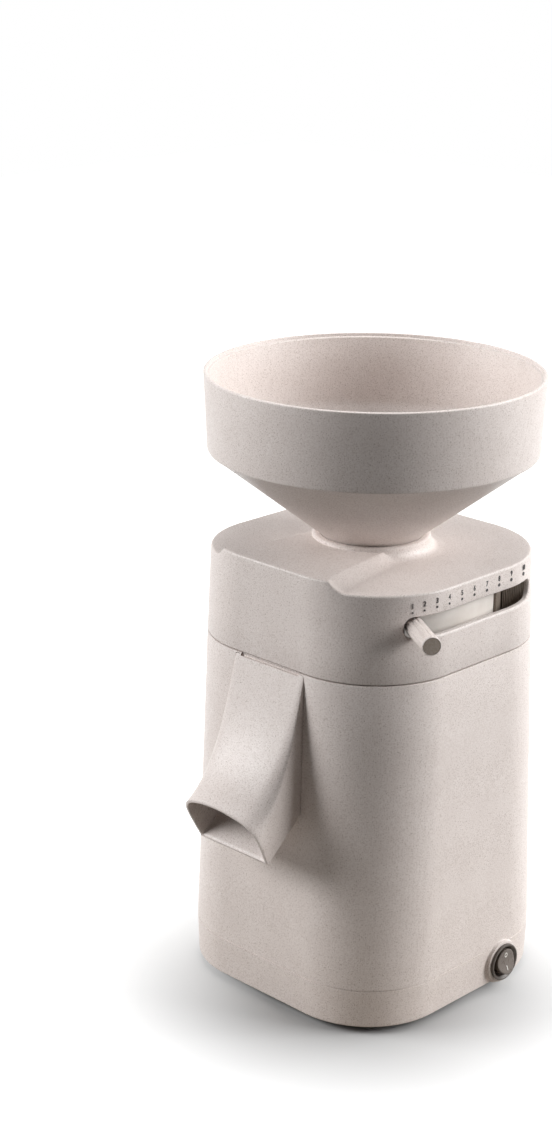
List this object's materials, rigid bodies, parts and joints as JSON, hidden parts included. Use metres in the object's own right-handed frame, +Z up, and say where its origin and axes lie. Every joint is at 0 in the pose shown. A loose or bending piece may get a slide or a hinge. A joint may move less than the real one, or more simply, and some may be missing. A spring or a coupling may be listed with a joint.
{
  "type": "electric grain mill",
  "caption": "Upright electric stone mill: rounded-square body with a moulded flour spout, round hopper above, setting lever in a scale slot and a round rocker switch.",
  "frame": {"origin": "point on the mill's vertical axis in the plane it stands on, between its four feet", "axes": "+Z up along the millstones' axis, front with the spout -Y, lever slot and switch on +X"},
  "size_m": [0.1953, 0.2173, 0.355],
  "materials": {
    "shell": "speckled fine matte moulding, warm greige",
    "dark_plastic": "satin dark grey-brown",
    "black_plastic": "satin black",
    "rocker_plastic": "half gloss dark grey-brown with white marks",
    "foot_rubber": "light grey rubber",
    "rubber": "black rubber",
    "steel": "zinc plated or ground",
    "core_steel": "dull electrical sheet",
    "cast_aluminium": "cast, matt",
    "stone": "rough bonded corundum ceramic",
    "copper": "varnished copper wire",
    "felt": "pressed felt",
    "ring_plastic": "smooth off-white",
    "holder_plastic": "smooth off-white, glass filled",
    "can": "drawn can",
    "terminal_plastic": "ivory"
  },
  "bodies": {
    "body": {"body_housing": "shell", "flour_spout": "shell", "top_cover": "shell", "base_plate": "dark_plastic", "rubber_feet": "foot_rubber", "base_screws": "steel", "cord_gland": "black_plastic", "gland_nut": "black_plastic", "terminal_block": "terminal_plastic", "capacitor": "can", "switch_body": "dark_plastic", "motor_plate": "steel", "plate_bushes": "rubber", "plate_screws": "steel", "upper_end_shield": "cast_aluminium", "lower_end_shield": "cast_aluminium", "shield_screws": "steel", "stator_core": "core_steel", "windings": "copper", "tie_bolts": "steel", "upper_bearing": "steel", "lower_bearing": "steel", "milling_chamber": "cast_aluminium", "chamber_screws": "steel", "shaft_seal": "felt", "ring_keeper": "steel", "keeper_screws": "steel"},
    "rotor": {"motor_shaft": "steel", "rotor_core": "core_steel", "cooling_fan": "black_plastic", "lower_stone_carrier": "cast_aluminium", "lower_stone": "stone", "stone_nut": "steel"},
    "setting_ring": {"adjusting_ring": "ring_plastic", "lever_arm": "steel", "lever_knob": "shell"},
    "stone_holder": {"upper_stone": "stone", "upper_stone_carrier": "holder_plastic"},
    "rocker": {"switch_rocker": "rocker_plastic"},
    "hopper": {"hopper": "shell"}
  },
  "joints": [
    {"name": "rotor_spin", "type": "hinge", "parent": "body", "child": "rotor", "pos_m": [0, 0, 0.1], "axis": [0, 0, 1], "continuous": true},
    {"name": "lever_turn", "type": "hinge", "parent": "body", "child": "setting_ring", "pos_m": [0, 0, 0.2365], "axis": [0, 0, 1], "range_deg": [0, 60]},
    {"name": "stone_lift", "type": "slide", "parent": "body", "child": "stone_holder", "axis": [0, 0, 1], "range_m": [0, 0.0008]},
    {"name": "rocker_tilt", "type": "hinge", "parent": "body", "child": "rocker", "pos_m": [0.0824, 0.027, 0.016], "axis": [0, 1, 0], "range_deg": [0, 20]},
    {"name": "hopper_lift", "type": "slide", "parent": "body", "child": "hopper", "axis": [0, 0, 1], "range_m": [0, 0.06]}
  ],
  "couplings": [
    {"joint": "stone_lift", "follows": "lever_turn", "m_per_rad": 0.00076}
  ]
}
